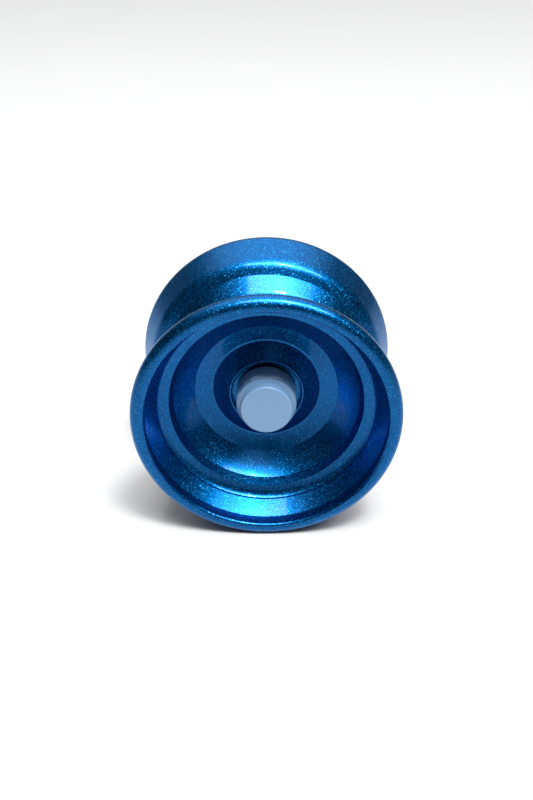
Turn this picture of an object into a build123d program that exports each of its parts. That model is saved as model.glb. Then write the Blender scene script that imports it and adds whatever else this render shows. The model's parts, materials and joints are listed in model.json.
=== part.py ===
from build123d import *
import math
import os

# A freewheeling yo-yo with hub stacks, in millimetres. The spin axis is Y and the origin is the middle
# of the string bearing. The front half lies towards -Y, the rear half towards +Y, and +Z is up.
# Outlines are drawn as (radius, distance from the mid-plane) and turned about Y. They describe the
# rear side, and the front side is the same shape mirrored.

# Driving dimensions
RIM_RADIUS = 28.0           # largest radius of each half
LIP_ROUND = 2.0             # radius of the rounded outer edge of the lip
LIP_CENTRE = 15.2           # distance of that round's centre from the mid-plane
LIP_FLAT = 0.4              # width of the narrow flat on the front of the lip
RIM_SLOPE = 22.0            # slope of the rim's gap side away from the spin axis, degrees
WEB_FACE = 1.0              # half of the string gap's width beside the pads
HUB_FLOOR = 2.7             # floor of the round well that each stack stands in
WELL_RADIUS = 7.36          # radius of that well
STACK_RADIUS = 6.3          # radius of the stack's barrel
STACK_NECK = 5.5            # radius of the stack's front part
STACK_FACE = 11.26          # flat end of the stack
STACK_FOOT = 3.2            # lower edge of the stack's barrel
FACE_ROUND = 0.35           # rounded edge of that flat end
SCALLOPS = 4                # grip scallops round each stack
SCALLOP_RADIUS = 0.95
SCALLOP_DEPTH = 1.0         # how deep each scallop is cut below the barrel
SCALLOP_MIDDLE = 7.85       # distance of the scallops from the mid-plane
FINE_EDGE = 0.25            # chamfers of the post, caps and screws

# String bearing, 3/16 x 3/8 x 1/8 inch
MAIN_BORE = 4.7625 / 2
MAIN_OUTER = 9.525 / 2
MAIN_WIDTH = 3.175
MAIN_BALL = 1.5875 / 2
MAIN_BALLS = 8

# Stack bearing, 1/4 x 3/8 x 1/8 inch
STACK_BORE = 6.35 / 2
STACK_OUTER = 9.525 / 2
STACK_WIDTH = 3.175
STACK_BALL = 0.5
STACK_BALLS = 12
STACK_SEAT = 5.0            # shoulder on the post that the stack bearing rests on
POST_SHOULDER = 3.55        # radius of that shoulder

# Axle and screws, M4
THREAD_RADIUS = 2.0
THREAD_PITCH = 0.7
THREAD_DEPTH = 0.35
AXLE_REACH = 5.6            # half of the axle's length
AXLE_KEY = 2.0              # width across flats of the axle's key socket
AXLE_KEY_DEPTH = 2.0
SCREW_SHANK = 1.98          # radius of the screws, just inside the bore
SCREW_TIP = 5.9             # distance of the screw's tip from the mid-plane
SCREW_HEAD = 3.5            # radius of the screw's head
SCREW_HEAD_HEIGHT = 1.15
SCREW_KEY = 2.5             # width across flats of the screw's key socket
SCREW_KEY_DEPTH = 1.4

# Clearances
BALL_PLAY = 0.04            # between a ball and each race
SIDE_PLAY = 0.29            # between the turning outer race and its seat
SHIELD_PLAY = 0.1           # between a shield and the inner race
PAD_PLAY = 0.05             # between a response pad and the sides of its groove
SPACER_PLAY = 0.05          # between a bearing spacer and the mid-plane
CAP_PLAY = 0.2              # between the stack bearing's near side and the end of its seat in the cap
CLIP_PLAY = 0.01            # between a snap ring and the sides of its groove
CUT = 0.1                   # how far a cutting shape reaches past the face that it opens

# Outline of each half, as radius and distance from the mid-plane
PAD_INNER = 6.2
PAD_OUTER = 8.6
PAD_FLOOR = 1.6
PAD_FACE = 1.1
FLANGE_RADIUS = 3.0
FLANGE_FACE = 2.0
SEAT_RADIUS = MAIN_OUTER + SIDE_PLAY
SEAT_FLOOR = MAIN_WIDTH / 2 + SIDE_PLAY
FLARE_START = 12.5          # radius where the face beside the string starts to flare out
FLARE_END = (20.6, 4.1)
FLARE_SLOPE = 48.0          # slope of the flare where it ends, from the radial plane, degrees
STEP_FOOT = (22.9, 6.75)
STEP_TOP = (24.2, 7.5)
SHOULDER_DEPTH = 2.1        # how far the rounded shoulder reaches along the spin axis
LIP_ROLL = 0.6              # radius of the lip's inner edge
COVE_TOP = (25.4, 14.6)
COVE_END = (25.35, 13.8)
COVE_START = (23.15, 10.5)
WALL_FOOT = (23.1, 10.0)
LEDGE_EDGE = (20.6, 8.75)
LEDGE_SLOPES = (62, 15)     # slopes of the ledge at its wall and at its edge
BOWL_TOP = (19.8, 6.7)
BOWL_CREASE = (15.4, 2.75)
BOWL_SLOPES = (50, 37)      # slopes of the bowl's wall at its top and at its crease
BOWL_FOOT = (11.9, 1.7)
FLOOR_SLOPES = (18, 13)     # slopes of the bowl's floor at its crease and at its foot
CONE_FOOT = 11.5
BEAD_FOOT = (8.2, 3.8)
BEAD_TOP = (7.8, 4.2)
POST_END = 8.1
DIAGONAL = math.sqrt(0.5)


def turned(edges):
    """Solid made by turning a closed outline about the spin axis."""
    return revolve(make_face(Curve() + edges), axis=Axis.Y)


def ring(inner, outer, near, far):
    """Flat ring between two radii and two distances from the mid-plane."""
    corners = [(inner, near), (outer, near), (outer, far), (inner, far)]
    return turned([Polyline(*corners, close=True)])


def front(shape):
    """The same shape on the front side of the mid-plane."""
    return mirror(shape, about=Plane.XZ)


def along(slope):
    """Direction of an outline that leans this many degrees away from the radial plane."""
    return (math.cos(math.radians(slope)), math.sin(math.radians(slope)))


def inwards(slope):
    """The same direction, drawn towards the spin axis and the mid-plane."""
    return (-along(slope)[0], -along(slope)[1])


def on_circle(count, radius, distance):
    """Places of the balls of one bearing."""
    places = []
    for index in range(count):
        angle = 2 * math.pi * index / count
        places.append((radius * math.sin(angle), distance, radius * math.cos(angle)))
    return places


def gap_side():
    """Face towards the string, from the bore out to the lip's rounded edge."""
    slope = math.radians(RIM_SLOPE)
    lip_middle = RIM_RADIUS - LIP_ROUND
    rim_end = (lip_middle + LIP_ROUND * math.cos(slope), LIP_CENTRE - LIP_ROUND * math.sin(slope))
    shoulder_far = STEP_TOP[1] + SHOULDER_DEPTH
    shoulder_end = (rim_end[0] - (rim_end[1] - shoulder_far) * math.tan(slope), shoulder_far)
    flare_start = (FLARE_START, WEB_FACE)
    hub = Polyline(
        (THREAD_RADIUS, FLANGE_FACE),
        (FLANGE_RADIUS + PAD_PLAY, FLANGE_FACE),
        (FLANGE_RADIUS + PAD_PLAY, SEAT_FLOOR),
        (SEAT_RADIUS, SEAT_FLOOR),
        (SEAT_RADIUS, WEB_FACE),
        (PAD_INNER, WEB_FACE),
        (PAD_INNER, PAD_FLOOR),
        (PAD_OUTER, PAD_FLOOR),
        (PAD_OUTER, WEB_FACE),
        flare_start,
    )
    flare = Spline(flare_start, FLARE_END, tangents=[along(0), along(FLARE_SLOPE)])
    step = Polyline(FLARE_END, STEP_FOOT, STEP_TOP)
    step_slope = (STEP_TOP[0] - STEP_FOOT[0], STEP_TOP[1] - STEP_FOOT[1])
    shoulder = Spline(STEP_TOP, shoulder_end, tangents=[step_slope, along(90 - RIM_SLOPE)])
    rim = Line(shoulder_end, rim_end)
    return [hub, flare, step, shoulder, rim], rim_end


def cup_side(rim_end):
    """Open side of a half: lip, wall, ledge, bowl, bead, well and the post of the stack."""
    lip_middle = RIM_RADIUS - LIP_ROUND
    lip_crest = (lip_middle, LIP_CENTRE + LIP_ROUND)
    lip_flat_end = (lip_middle - LIP_FLAT, lip_crest[1])
    lip = ThreePointArc(rim_end, (RIM_RADIUS, LIP_CENTRE), lip_crest)
    lip_flat = Line(lip_crest, lip_flat_end)
    roll_middle = (lip_flat_end[0], lip_crest[1] - LIP_ROLL)
    roll_end = (roll_middle[0] - LIP_ROLL, roll_middle[1])
    roll_crest = (roll_middle[0] - LIP_ROLL * DIAGONAL, roll_middle[1] + LIP_ROLL * DIAGONAL)
    lip_roll = ThreePointArc(lip_flat_end, roll_crest, roll_end)
    lip_back = (roll_end[0], COVE_TOP[1] + LIP_ROLL)
    cove = Polyline(roll_end, lip_back, COVE_TOP, COVE_END, COVE_START, WALL_FOOT)
    ledge = Spline(WALL_FOOT, LEDGE_EDGE, tangents=[inwards(slope) for slope in LEDGE_SLOPES])
    brink = Line(LEDGE_EDGE, BOWL_TOP)
    bowl = Spline(BOWL_TOP, BOWL_CREASE, tangents=[inwards(slope) for slope in BOWL_SLOPES])
    bowl_floor = Spline(BOWL_CREASE, BOWL_FOOT, tangents=[inwards(slope) for slope in FLOOR_SLOPES])
    cone = Polyline(BOWL_FOOT, (CONE_FOOT, BOWL_FOOT[1]), BEAD_FOOT)
    bead = ThreePointArc(BEAD_FOOT, BEAD_TOP, (WELL_RADIUS, BEAD_FOOT[1]))
    post = Polyline(
        (WELL_RADIUS, BEAD_FOOT[1]),
        (WELL_RADIUS, HUB_FLOOR),
        (POST_SHOULDER, HUB_FLOOR),
        (POST_SHOULDER, STACK_SEAT),
        (STACK_BORE, STACK_SEAT),
        (STACK_BORE, POST_END - FINE_EDGE),
        (STACK_BORE - FINE_EDGE, POST_END),
        (THREAD_RADIUS, POST_END),
        (THREAD_RADIUS, FLANGE_FACE),
    )
    return [lip, lip_flat, lip_roll, cove, ledge, brink, bowl, bowl_floor, cone, bead, post]


def half_body():
    """One turned aluminium half with its stack post and threaded bore."""
    gap_edges, rim_end = gap_side()
    return turned(gap_edges + cup_side(rim_end))


def response_pad():
    """Silicone ring that grips the string."""
    return ring(PAD_INNER + PAD_PLAY, PAD_OUTER - PAD_PLAY, PAD_FACE, PAD_FLOOR)


def axle():
    """Threaded rod that joins the halves, with parallel grooves standing for its thread."""
    chamfer_start = AXLE_REACH - THREAD_DEPTH
    turns = round(2 * chamfer_start / THREAD_PITCH)
    pitch = 2 * chamfer_start / turns
    root = THREAD_RADIUS - THREAD_DEPTH
    points = [(0, -AXLE_REACH), (root, -AXLE_REACH)]
    for turn in range(turns):
        start = -chamfer_start + turn * pitch
        points.append((THREAD_RADIUS, start))
        points.append((root, start + pitch / 2))
    points.append((THREAD_RADIUS, chamfer_start))
    points.append((root, AXLE_REACH))
    points.append((0, AXLE_REACH))
    rod = turned([Polyline(*points, close=True)])
    return rod - key_socket(AXLE_KEY, AXLE_REACH, AXLE_KEY_DEPTH)


def key_socket(width, face, depth):
    """Six-sided socket for a key, sunk from the face towards the mid-plane."""
    outline = RegularPolygon(radius=width / 2, side_count=6, major_radius=False)
    socket = extrude(Plane(origin=(0, face, 0), z_dir=(0, -1, 0)) * outline, amount=depth)
    return socket


def bearing_spacer():
    """Thin flanged sleeve that carries the string bearing on the axle."""
    bore = THREAD_RADIUS
    sleeve = ring(bore, MAIN_BORE, SPACER_PLAY, MAIN_WIDTH / 2)
    flange = ring(bore, FLANGE_RADIUS, MAIN_WIDTH / 2, FLANGE_FACE)
    return sleeve + flange


def race_groove(pitch_radius, ball_radius, middle):
    """Ring of round section cut into both races for the balls to run in."""
    groove = ball_radius + BALL_PLAY
    outline = Plane.XY * Pos(pitch_radius, middle) * Circle(groove)
    return revolve(outline, axis=Axis.Y)


def inner_race(bore, outer, width, pitch_radius, ball_radius, middle):
    """Inner ring of a bearing."""
    blank = ring(bore, outer, middle - width / 2, middle + width / 2)
    return blank - race_groove(pitch_radius, ball_radius, middle)


def outer_race(inner, outer, width, pitch_radius, ball_radius, middle, shield_seat, seat_depth):
    """Outer ring of a bearing, with a step at each side for a shield."""
    near = middle - width / 2
    far = middle + width / 2
    race = ring(inner, outer, near, far) - race_groove(pitch_radius, ball_radius, middle)
    race -= ring(inner - CUT, shield_seat, near, near + seat_depth)
    race -= ring(inner - CUT, shield_seat, far - seat_depth, far)
    return race


def balls(count, pitch_radius, ball_radius, middle):
    """All the balls of one bearing, as separate solids."""
    spheres = [Pos(*place) * Sphere(ball_radius) for place in on_circle(count, pitch_radius, middle)]
    return Compound(children=spheres)


def crown_cage(inner, outer, near, far, count, pitch_radius, ball_radius, middle):
    """Crown-shaped cage that keeps the balls apart."""
    cage = ring(inner, outer, near, far)
    pocket = ball_radius + BALL_PLAY
    for place in on_circle(count, pitch_radius, middle):
        cage -= Pos(*place) * Sphere(pocket)
    return cage


def snap_ring(inner, outer, near, far):
    """Split wire ring that holds a shield in the string bearing."""
    opening_width = 1.2
    thickness = far - near
    opening = Box(opening_width, thickness + CUT, 2 * (outer - inner + CUT))
    return ring(inner, outer, near, far) - Pos(0, (near + far) / 2, -outer) * opening


def stack_cap():
    """Plastic cap of a hub stack, with four grip scallops around its shoulder."""
    shoulder_start = 8.85
    shoulder_end = 9.35
    bore = STACK_OUTER
    bore_near = STACK_SEAT - CAP_PLAY
    bore_far = STACK_SEAT + STACK_WIDTH
    cavity = 4.2
    cavity_end = 10.1
    face_edge = STACK_NECK - FACE_ROUND
    round_start = STACK_FACE - FACE_ROUND
    sides = Polyline(
        (0, cavity_end),
        (cavity, cavity_end),
        (cavity, bore_far),
        (bore, bore_far),
        (bore, bore_near),
        (bore + FINE_EDGE, bore_near - FINE_EDGE),
        (bore + FINE_EDGE, STACK_FOOT),
        (STACK_RADIUS - FINE_EDGE, STACK_FOOT),
        (STACK_RADIUS, STACK_FOOT + FINE_EDGE),
        (STACK_RADIUS, shoulder_start),
        (STACK_NECK, shoulder_end),
        (STACK_NECK, round_start),
    )
    rounded = RadiusArc((STACK_NECK, round_start), (face_edge, STACK_FACE), -FACE_ROUND)
    face = Polyline((face_edge, STACK_FACE), (0, STACK_FACE), (0, cavity_end))
    cap = turned([sides, rounded, face])
    for index in range(SCALLOPS):
        cap -= Rot(0, 360 * index / SCALLOPS, 0) * scallop_cutter()
    return cap


def scallop_cutter():
    """Cylinder that cuts one grip scallop across the top of the stack cap's shoulder."""
    across = Cylinder(SCALLOP_RADIUS, 3 * STACK_RADIUS)
    height = STACK_RADIUS - SCALLOP_DEPTH + SCALLOP_RADIUS
    return Pos(0, SCALLOP_MIDDLE, height) * Rot(0, 90, 0) * across


def stack_screw():
    """Low-headed screw that clamps the stack bearing on its post."""
    head_near = STACK_SEAT + STACK_WIDTH
    head_far = head_near + SCREW_HEAD_HEIGHT
    tip = SCREW_SHANK - THREAD_DEPTH
    screw = turned([Polyline(
        (0, SCREW_TIP),
        (tip, SCREW_TIP),
        (SCREW_SHANK, SCREW_TIP + THREAD_DEPTH),
        (SCREW_SHANK, head_near),
        (SCREW_HEAD, head_near),
        (SCREW_HEAD, head_far - FINE_EDGE),
        (SCREW_HEAD - FINE_EDGE, head_far),
        (0, head_far),
        close=True,
    )])
    return screw - key_socket(SCREW_KEY, head_far, SCREW_KEY_DEPTH)


def main_bearing():
    """Pieces of the string bearing, by node name."""
    pitch = (MAIN_BORE + MAIN_OUTER) / 2
    half = MAIN_WIDTH / 2
    inner_edge = 3.05
    outer_edge = 4.1
    shield_seat = 4.35
    seat_depth = 0.48
    shield_near = half - seat_depth
    shield_far = shield_near + 0.2
    clip_near = shield_far + CLIP_PLAY
    clip_far = clip_near + 0.18
    clip_seat = shield_seat + CUT
    cage_inner = 3.3
    cage_outer = 3.85
    cage_near = -0.95
    cage_far = -0.1
    shield = ring(inner_edge + SHIELD_PLAY, shield_seat, shield_near, shield_far)
    clip = snap_ring(outer_edge, clip_seat - CLIP_PLAY, clip_near, clip_far)
    clip_groove = ring(outer_edge - CUT, clip_seat, clip_near - CLIP_PLAY, clip_far + CLIP_PLAY)
    race = outer_race(outer_edge, MAIN_OUTER, MAIN_WIDTH, pitch, MAIN_BALL, 0, shield_seat, seat_depth)
    race -= clip_groove
    race -= front(clip_groove)
    return {
        "main_bearing_inner_race": inner_race(MAIN_BORE, inner_edge, MAIN_WIDTH, pitch, MAIN_BALL, 0),
        "main_bearing_outer_race": race,
        "main_bearing_balls": balls(MAIN_BALLS, pitch, MAIN_BALL, 0),
        "main_bearing_cage": crown_cage(
            cage_inner, cage_outer, cage_near, cage_far, MAIN_BALLS, pitch, MAIN_BALL, 0
        ),
        "main_bearing_rear_shield": shield,
        "main_bearing_front_shield": front(shield),
        "main_bearing_rear_snap_ring": clip,
        "main_bearing_front_snap_ring": front(clip),
    }


def stack():
    """Pieces of the rear stack, by the end of their node names."""
    pitch = (STACK_BORE + STACK_OUTER) / 2
    middle = STACK_SEAT + STACK_WIDTH / 2
    inner_edge = 3.62
    outer_edge = 4.32
    shield_seat = 4.45
    seat_depth = 0.35
    near = STACK_SEAT + seat_depth
    far = STACK_SEAT + STACK_WIDTH - seat_depth
    thickness = 0.15
    cage_inner = 3.75
    cage_outer = 4.2
    cage_near = middle - 0.7
    cage_far = middle - 0.05
    race = outer_race(
        outer_edge, STACK_OUTER, STACK_WIDTH, pitch, STACK_BALL, middle, shield_seat, seat_depth
    )
    return {
        "stack_cap": stack_cap(),
        "stack_bearing_inner_race": inner_race(
            STACK_BORE, inner_edge, STACK_WIDTH, pitch, STACK_BALL, middle
        ),
        "stack_bearing_outer_race": race,
        "stack_bearing_balls": balls(STACK_BALLS, pitch, STACK_BALL, middle),
        "stack_bearing_cage": crown_cage(
            cage_inner, cage_outer, cage_near, cage_far, STACK_BALLS, pitch, STACK_BALL, middle
        ),
        "stack_bearing_foot_shield": ring(inner_edge + SHIELD_PLAY, shield_seat, near - thickness, near),
        "stack_bearing_face_shield": ring(inner_edge + SHIELD_PLAY, shield_seat, far, far + thickness),
        "stack_screw": stack_screw(),
    }


def all_parts():
    """Every node of the yo-yo, by name."""
    both_sides = {"half": half_body(), "response_pad": response_pad(), "bearing_spacer": bearing_spacer()}
    both_sides.update(stack())
    parts = {"axle": axle()}
    parts.update(main_bearing())
    for name, shape in both_sides.items():
        parts["rear_" + name] = shape
        parts["front_" + name] = front(shape)
    return parts


os.makedirs("parts", exist_ok=True)
for node, shape in all_parts().items():
    export_step(shape, "parts/" + node + ".step")
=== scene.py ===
import json
import math

import bpy
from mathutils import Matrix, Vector


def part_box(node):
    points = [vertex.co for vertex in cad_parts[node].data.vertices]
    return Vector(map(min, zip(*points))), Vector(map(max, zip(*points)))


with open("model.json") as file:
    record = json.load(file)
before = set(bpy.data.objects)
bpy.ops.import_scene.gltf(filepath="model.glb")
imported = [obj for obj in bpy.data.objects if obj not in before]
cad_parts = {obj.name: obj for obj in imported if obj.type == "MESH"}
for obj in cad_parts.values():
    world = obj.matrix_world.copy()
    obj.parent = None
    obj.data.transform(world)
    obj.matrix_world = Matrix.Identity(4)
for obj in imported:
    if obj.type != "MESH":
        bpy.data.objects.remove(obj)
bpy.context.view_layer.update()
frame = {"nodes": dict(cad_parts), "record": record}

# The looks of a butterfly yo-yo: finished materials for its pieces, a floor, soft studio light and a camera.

# Places and sizes, in metres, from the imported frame. The spin axis is Y and the origin is its middle.
HALF_LOW, HALF_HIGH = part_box("front_half")
RIM_RADIUS = HALF_HIGH.z
FLOOR_Z = HALF_LOW.z
MM = 0.001

# Camera: the spin axis points at it, and it looks down on the front cup.
CAMERA_ELEVATION = math.radians(30.0)
CAMERA_DISTANCE = 7.84 * RIM_RADIUS
CAMERA_TARGET = Vector((0.0, 0.0, -0.141 * RIM_RADIUS))
CAMERA_LENS = 44.9
CAMERA_SENSOR_WIDTH = 36.0
CAMERA_NEAR = 0.01
CAMERA_FAR = 50.0

# Light: a lamp and a wide softbox above the front, in a dim room with a bright ceiling and a wall behind.
KEY_DIRECTION = Vector((0.21, -0.37, 0.91)).normalized()
CEILING_DIRECTION = Vector((0.0, 0.3, 0.95)).normalized()
WALL_DIRECTION = Vector((0.0, 1.0, 0.0))
LAMP_STRENGTH = 2.0
LAMP_ANGLE = math.radians(11.0)
SOFTBOX_POWER = 115.0
SOFTBOX_SIZE = (3.2, 0.8)
SOFTBOX_DISTANCE = 3.0
ROOM_COLOUR = (0.03, 0.032, 0.035, 1.0)
BACKDROP_COLOUR = (1.0, 1.0, 1.0, 1.0)

# Soft patches of light in the room: direction, angle of the even core, angle of the faded edge, strength.
# The angles are in degrees, away from the direction.
PATCHES = (
    (KEY_DIRECTION, 4.0, 31.0, 3.4),
    (CEILING_DIRECTION, 14.0, 50.0, 2.4),
    (WALL_DIRECTION, 45.0, 80.0, 0.35),
)

# Values that the materials share. Nearly all of a noise texture lies in the noise range.
WHOLE_RANGE = (0.0, 1.0)
NOISE_RANGE = (0.3, 0.7)
MIDDLE_OF_RANDOM = (0.5, 0.5, 0.5)
OPAQUE = 1.0

# The Mix node's colour sockets have the same names as its number sockets, so they are found by their place.
MIX_COLOUR_INPUTS = (6, 7)
MIX_COLOUR_OUTPUT = 2

# Blue anodised metal: a grain of smooth and satin cells, and larger cells, a few of which are bright flakes.
# A band is the narrow range of random numbers in which a cell turns from the one kind to the other.
METAL_COLOURS = ((0.0, 0.075, 0.25), (0.0, 0.09, 0.29))
METAL_CLOUD_SCALE = 120.0
GRAIN_SIZE = 0.07 * MM
SATIN_BAND = (0.45, 0.55)
GRAIN_ROUGHNESS = (0.23, 0.40)
GRAIN_LEAN = (0.02, 0.20)
FLAKE_SIZE = 0.16 * MM
FLAKE_BAND = (0.82, 0.86)
FLAKE_COLOUR = (0.02, 0.26, 0.56)
FLAKE_ADDED_ROUGHNESS = 0.10
FLAKE_LEAN = (0.0, 0.35)
METAL_EDGE_TINT = (0.45, 0.70, 0.95, 1.0)
LACQUER_ROUGHNESS = 0.08
LACQUER_IOR = 1.2

# Light blue stack plastic.
PLASTIC_COLOURS = ((0.152, 0.275, 0.44), (0.156, 0.281, 0.45))
PLASTIC_ROUGHNESS = (0.20, 0.24)
PLASTIC_CLOUD_SCALE = 120.0
PLASTIC_SHEEN_SCALE = 900.0
PLASTIC_SKIN_SCALE = 1200.0
PLASTIC_SKIN_DEPTH = 0.002 * MM
PLASTIC_IOR = 1.46

# White silicone pads, with dust on them.
SILICONE_COLOURS = ((0.78, 0.78, 0.76), (0.62, 0.63, 0.63))
SILICONE_ROUGHNESS = (0.45, 0.65)
DUST_SCALE = 600.0
DUST_RANGE = (0.35, 0.7)
DIMPLE_SCALE = 2500.0
DIMPLE_DEPTH = 0.03 * MM
SILICONE_IOR = 1.41

# Steels: darker colour, lighter colour, roughness, and whether turning marks run round the spin axis.
STEELS = {
    "axle_steel": ((0.20, 0.20, 0.21), (0.34, 0.34, 0.35), (0.28, 0.45), True),
    "bearing_steel": ((0.50, 0.51, 0.52), (0.62, 0.62, 0.63), (0.12, 0.24), True),
    "ball_steel": ((0.60, 0.61, 0.62), (0.70, 0.70, 0.71), (0.05, 0.10), False),
    "cage_steel": ((0.42, 0.41, 0.39), (0.54, 0.53, 0.50), (0.25, 0.40), False),
    "shield_steel": ((0.44, 0.45, 0.46), (0.56, 0.56, 0.57), (0.20, 0.35), True),
    "spring_steel": ((0.08, 0.08, 0.09), (0.14, 0.14, 0.15), (0.30, 0.45), False),
}
TURNING_MARK_SCALE = 4000.0
TURNING_MARK_STRETCH = (0.05, 1.0, 0.05)
BRUSHED_GRAIN_SCALE = 5000.0
STAIN_SCALE = 300.0
STEEL_MARK_DEPTH = 0.004 * MM

# White floor with a slight gloss.
FLOOR_SIZE = 8.0
FLOOR_COLOURS = ((0.48, 0.48, 0.48), (0.50, 0.50, 0.50))
FLOOR_CLOUD_SCALE = 20.0
FLOOR_ROUGHNESS = 0.12
FLOOR_IOR = 1.3


class Nodes:
    """A material's node tree, with short calls to add nodes and join them."""

    def __init__(self, name):
        self.material = bpy.data.materials.new(name)
        self.material.use_nodes = True
        self.tree = self.material.node_tree
        self.tree.nodes.clear()
        self.shader = self.tree.nodes.new("ShaderNodeBsdfPrincipled")
        output = self.tree.nodes.new("ShaderNodeOutputMaterial")
        self.join(self.shader.outputs["BSDF"], output.inputs["Surface"])
        coordinates = self.tree.nodes.new("ShaderNodeTexCoord")
        self.place = coordinates.outputs["Object"]

    def join(self, source, target):
        self.tree.links.new(source, target)

    def set(self, **values):
        """Sets the shader's own sockets. A socket's name is written with _ for its spaces."""
        for name, value in values.items():
            self.shader.inputs[name.replace("_", " ")].default_value = value

    def noise(self, scale, detail=3.0, stretch=None):
        """Soft noise. scale is in cycles per metre, and stretch multiplies it along X, Y and Z."""
        node = self.tree.nodes.new("ShaderNodeTexNoise")
        node.inputs["Scale"].default_value = scale
        node.inputs["Detail"].default_value = detail
        place = self.place
        if stretch:
            mapping = self.tree.nodes.new("ShaderNodeMapping")
            mapping.inputs["Scale"].default_value = stretch
            self.join(self.place, mapping.inputs["Vector"])
            place = mapping.outputs["Vector"]
        self.join(place, node.inputs["Vector"])
        return node.outputs["Fac"]

    def cells(self, size):
        """Random colour for each cell of about this size, in metres."""
        node = self.tree.nodes.new("ShaderNodeTexVoronoi")
        node.inputs["Scale"].default_value = 1.0 / size
        self.join(self.place, node.inputs["Vector"])
        return node.outputs["Color"]

    def spread(self, value, source, target=WHOLE_RANGE):
        """Maps a value from the source range to the target range, held at its ends."""
        node = self.tree.nodes.new("ShaderNodeMapRange")
        self.join(value, node.inputs["Value"])
        node.inputs["From Min"].default_value, node.inputs["From Max"].default_value = source
        node.inputs["To Min"].default_value, node.inputs["To Max"].default_value = target
        return node.outputs["Result"]

    def mix(self, factor, first, second):
        """Blends two colours, each a socket or a plain colour, by a factor from a texture."""
        node = self.tree.nodes.new("ShaderNodeMix")
        node.data_type = "RGBA"
        self.join(factor, node.inputs["Factor"])
        for place, value in zip(MIX_COLOUR_INPUTS, (first, second)):
            if isinstance(value, tuple):
                node.inputs[place].default_value = (*value, OPAQUE)
            else:
                self.join(value, node.inputs[place])
        return node.outputs[MIX_COLOUR_OUTPUT]

    def split(self, colour):
        """The three channels of a colour, as separate random numbers."""
        node = self.tree.nodes.new("ShaderNodeSeparateColor")
        self.join(colour, node.inputs["Color"])
        return node.outputs

    def vector(self, operation, *values):
        """A vector operation on sockets or plain vectors."""
        node = self.tree.nodes.new("ShaderNodeVectorMath")
        node.operation = operation
        for index, value in enumerate(values):
            if isinstance(value, tuple):
                node.inputs[index].default_value = value
            else:
                self.join(value, node.inputs[index])
        return node.outputs["Vector"]

    def number(self, operation, *values):
        """A number operation on sockets or plain numbers."""
        node = self.tree.nodes.new("ShaderNodeMath")
        node.operation = operation
        for index, value in enumerate(values):
            if isinstance(value, float):
                node.inputs[index].default_value = value
            else:
                self.join(value, node.inputs[index])
        return node.outputs["Value"]

    def scaled(self, vector, number):
        """A vector times a number that varies over the surface."""
        node = self.tree.nodes.new("ShaderNodeVectorMath")
        node.operation = "SCALE"
        self.join(vector, node.inputs[0])
        self.join(number, node.inputs["Scale"])
        return node.outputs["Vector"]

    def shuffle(self, colour):
        """Another random colour for each cell, which has nothing to do with the first."""
        node = self.tree.nodes.new("ShaderNodeTexWhiteNoise")
        node.noise_dimensions = "3D"
        self.join(colour, node.inputs["Vector"])
        return node.outputs["Color"]

    def tilt(self, cells, amount, normal=None):
        """A normal, leaned a different way in each cell by an amount that may vary."""
        if normal is None:
            normal = self.tree.nodes.new("ShaderNodeNewGeometry").outputs["Normal"]
        direction = self.vector("SUBTRACT", self.shuffle(cells), MIDDLE_OF_RANDOM)
        lean = self.scaled(direction, amount)
        return self.vector("NORMALIZE", self.vector("ADD", normal, lean))

    def bump(self, height, depth, strength):
        """Normal from a height texture. depth is in metres."""
        node = self.tree.nodes.new("ShaderNodeBump")
        node.inputs["Strength"].default_value = strength
        node.inputs["Distance"].default_value = depth
        self.join(height, node.inputs["Height"])
        return node.outputs["Normal"]


def anodised_blue():
    """Blue anodised metal: a very fine grain, part smooth and part satin, with sparse bright flakes."""
    m = Nodes("anodised_blue")
    grain = m.cells(GRAIN_SIZE)
    satin = m.spread(m.split(grain)[0], SATIN_BAND)
    flakes = m.cells(FLAKE_SIZE)
    choice, shade = m.split(flakes)[:2]
    flake = m.spread(choice, FLAKE_BAND)
    cloud = m.spread(m.noise(METAL_CLOUD_SCALE, detail=4.0), NOISE_RANGE)
    colour = m.mix(cloud, *METAL_COLOURS)
    colour = m.mix(m.number("MULTIPLY", flake, shade), colour, FLAKE_COLOUR)
    m.join(colour, m.shader.inputs["Base Color"])
    roughness = m.spread(satin, WHOLE_RANGE, GRAIN_ROUGHNESS)
    added = m.number("MULTIPLY", flake, FLAKE_ADDED_ROUGHNESS)
    m.join(m.number("ADD", roughness, added), m.shader.inputs["Roughness"])
    leaned = m.tilt(flakes, m.spread(flake, WHOLE_RANGE, FLAKE_LEAN))
    m.join(m.tilt(grain, m.spread(satin, WHOLE_RANGE, GRAIN_LEAN), leaned), m.shader.inputs["Normal"])
    m.set(Metallic=1.0, Specular_Tint=METAL_EDGE_TINT)
    m.set(Coat_Weight=1.0, Coat_Roughness=LACQUER_ROUGHNESS, Coat_IOR=LACQUER_IOR)
    return m.material


def stack_plastic():
    """Light blue moulded plastic, satin, with a faint skin texture."""
    m = Nodes("stack_plastic")
    m.join(m.mix(m.noise(PLASTIC_CLOUD_SCALE, detail=2.0), *PLASTIC_COLOURS), m.shader.inputs["Base Color"])
    sheen = m.spread(m.noise(PLASTIC_SHEEN_SCALE), NOISE_RANGE, PLASTIC_ROUGHNESS)
    m.join(sheen, m.shader.inputs["Roughness"])
    skin = m.bump(m.noise(PLASTIC_SKIN_SCALE, detail=1.0), PLASTIC_SKIN_DEPTH, strength=0.2)
    m.join(skin, m.shader.inputs["Normal"])
    m.set(IOR=PLASTIC_IOR)
    return m.material


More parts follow.
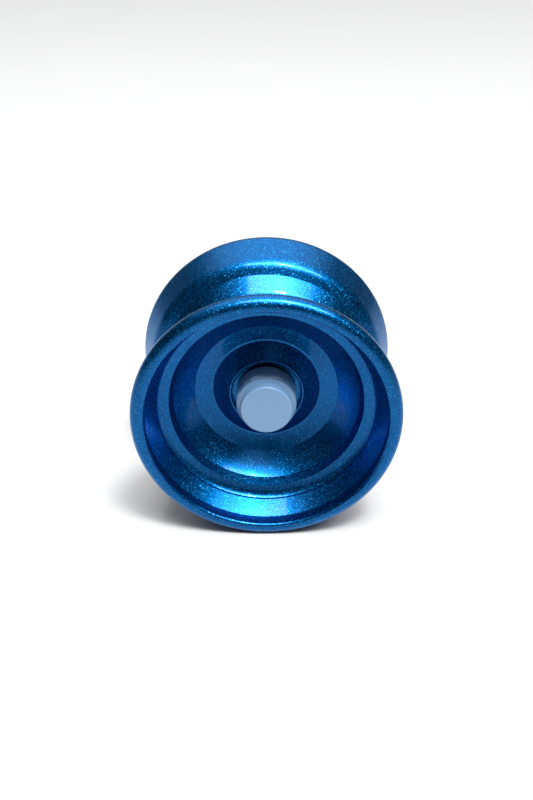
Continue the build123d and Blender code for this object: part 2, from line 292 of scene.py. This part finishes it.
def pad_silicone():
    """White silicone with dust and a dull, slightly dimpled face."""
    m = Nodes("pad_silicone")
    dust = m.spread(m.noise(DUST_SCALE, detail=6.0), DUST_RANGE)
    m.join(m.mix(dust, *SILICONE_COLOURS), m.shader.inputs["Base Color"])
    m.join(m.spread(dust, WHOLE_RANGE, SILICONE_ROUGHNESS), m.shader.inputs["Roughness"])
    dimples = m.bump(m.noise(DIMPLE_SCALE, detail=2.0), DIMPLE_DEPTH, strength=0.5)
    m.join(dimples, m.shader.inputs["Normal"])
    m.set(IOR=SILICONE_IOR)
    return m.material


def steel(name, dark, light, roughness, turned):
    """Steel with fine turning marks round the spin axis, or an even brushed grain."""
    m = Nodes(name)
    if turned:
        marks = m.noise(TURNING_MARK_SCALE, detail=2.0, stretch=TURNING_MARK_STRETCH)
    else:
        marks = m.noise(BRUSHED_GRAIN_SCALE, detail=4.0)
    stains = m.spread(m.noise(STAIN_SCALE, detail=5.0), NOISE_RANGE)
    m.join(m.mix(stains, dark, light), m.shader.inputs["Base Color"])
    m.join(m.spread(marks, NOISE_RANGE, roughness), m.shader.inputs["Roughness"])
    m.join(m.bump(marks, STEEL_MARK_DEPTH, strength=0.4), m.shader.inputs["Normal"])
    m.set(Metallic=1.0)
    return m.material


def materials():
    """One finished material for each material slot of the record."""
    finished = {
        "anodised_blue": anodised_blue(),
        "stack_plastic": stack_plastic(),
        "pad_silicone": pad_silicone(),
    }
    for name, finish in STEELS.items():
        finished[name] = steel(name, *finish)
    return finished


def paint_nodes():
    """Gives every CAD node the finished material of its slot."""
    finished = materials()
    for part in frame["record"]["subparts"]:
        for mesh_slot in frame["nodes"][part["node"]].material_slots:
            mesh_slot.material = finished[part["material_slot"]]


def floor():
    """Plain white floor with a slight gloss."""
    bpy.ops.mesh.primitive_plane_add(size=FLOOR_SIZE, location=(0.0, 0.0, FLOOR_Z))
    plane = bpy.context.object
    plane.name = "floor"
    m = Nodes("floor_white")
    m.join(m.mix(m.noise(FLOOR_CLOUD_SCALE), *FLOOR_COLOURS), m.shader.inputs["Base Color"])
    m.set(Roughness=FLOOR_ROUGHNESS, IOR=FLOOR_IOR)
    plane.data.materials.append(m.material)


def hang(data):
    """Adds a light that shines on the object along the key direction, level from left to right."""
    piece = bpy.data.objects.new(data.name, data)
    piece.location = KEY_DIRECTION * SOFTBOX_DISTANCE
    forward_tilt = math.asin(-KEY_DIRECTION.y)
    side_tilt = math.atan2(KEY_DIRECTION.x, KEY_DIRECTION.z)
    piece.rotation_euler = (forward_tilt, side_tilt, 0.0)
    bpy.context.scene.collection.objects.link(piece)


def lamp():
    """Small hot lamp that shines the same way as the softbox."""
    data = bpy.data.lights.new("lamp", "SUN")
    data.energy = LAMP_STRENGTH
    data.angle = LAMP_ANGLE
    hang(data)


def softbox():
    """Wide, narrow sheet of soft light."""
    data = bpy.data.lights.new("softbox", "AREA")
    data.shape = "RECTANGLE"
    data.size, data.size_y = SOFTBOX_SIZE
    data.energy = SOFTBOX_POWER
    hang(data)


def patch(tree, direction, core, edge, strength):
    """White light from one part of the room, even up to the core angle and faded out at the edge angle."""
    coordinates = tree.nodes.new("ShaderNodeTexCoord")
    nearness = tree.nodes.new("ShaderNodeVectorMath")
    nearness.operation = "DOT_PRODUCT"
    nearness.inputs[1].default_value = direction
    tree.links.new(coordinates.outputs["Generated"], nearness.inputs[0])
    fade = tree.nodes.new("ShaderNodeMapRange")
    fade.interpolation_type = "SMOOTHSTEP"
    fade.inputs["From Min"].default_value = math.cos(math.radians(edge))
    fade.inputs["From Max"].default_value = math.cos(math.radians(core))
    fade.inputs["To Max"].default_value = strength
    tree.links.new(nearness.outputs["Value"], fade.inputs["Value"])
    light = tree.nodes.new("ShaderNodeBackground")
    tree.links.new(fade.outputs["Result"], light.inputs["Strength"])
    return light.outputs["Background"]


def plain_light(tree, colour):
    """The same light from every side."""
    light = tree.nodes.new("ShaderNodeBackground")
    light.inputs["Color"].default_value = colour
    return light.outputs["Background"]


def room():
    """A dim room with soft patches of light, which the camera sees as a plain white backdrop.

    An Add or Mix Shader node's two shader inputs have one name, so they are found by their place.
    """
    world = bpy.data.worlds.new("room")
    world.use_nodes = True
    tree = world.node_tree
    tree.nodes.clear()
    light = plain_light(tree, ROOM_COLOUR)
    for direction, core, edge, strength in PATCHES:
        total = tree.nodes.new("ShaderNodeAddShader")
        tree.links.new(light, total.inputs[0])
        tree.links.new(patch(tree, direction, core, edge, strength), total.inputs[1])
        light = total.outputs["Shader"]
    path = tree.nodes.new("ShaderNodeLightPath")
    choice = tree.nodes.new("ShaderNodeMixShader")
    output = tree.nodes.new("ShaderNodeOutputWorld")
    tree.links.new(path.outputs["Is Camera Ray"], choice.inputs["Fac"])
    tree.links.new(light, choice.inputs[1])
    tree.links.new(plain_light(tree, BACKDROP_COLOUR), choice.inputs[2])
    tree.links.new(choice.outputs["Shader"], output.inputs["Surface"])
    bpy.context.scene.world = world


def camera():
    """Camera on the front side, looking down along the spin axis."""
    data = bpy.data.cameras.new("camera")
    data.lens = CAMERA_LENS
    data.sensor_width = CAMERA_SENSOR_WIDTH
    data.clip_start = CAMERA_NEAR
    data.clip_end = CAMERA_FAR
    away = Vector((0.0, -math.cos(CAMERA_ELEVATION), math.sin(CAMERA_ELEVATION)))
    eye = bpy.data.objects.new("camera", data)
    eye.location = CAMERA_TARGET + away * CAMERA_DISTANCE
    eye.rotation_euler = away.to_track_quat("Z", "Y").to_euler()
    bpy.context.scene.collection.objects.link(eye)
    bpy.context.scene.camera = eye


paint_nodes()
floor()
lamp()
softbox()
room()
camera()
bpy.context.scene.view_settings.view_transform = "Standard"
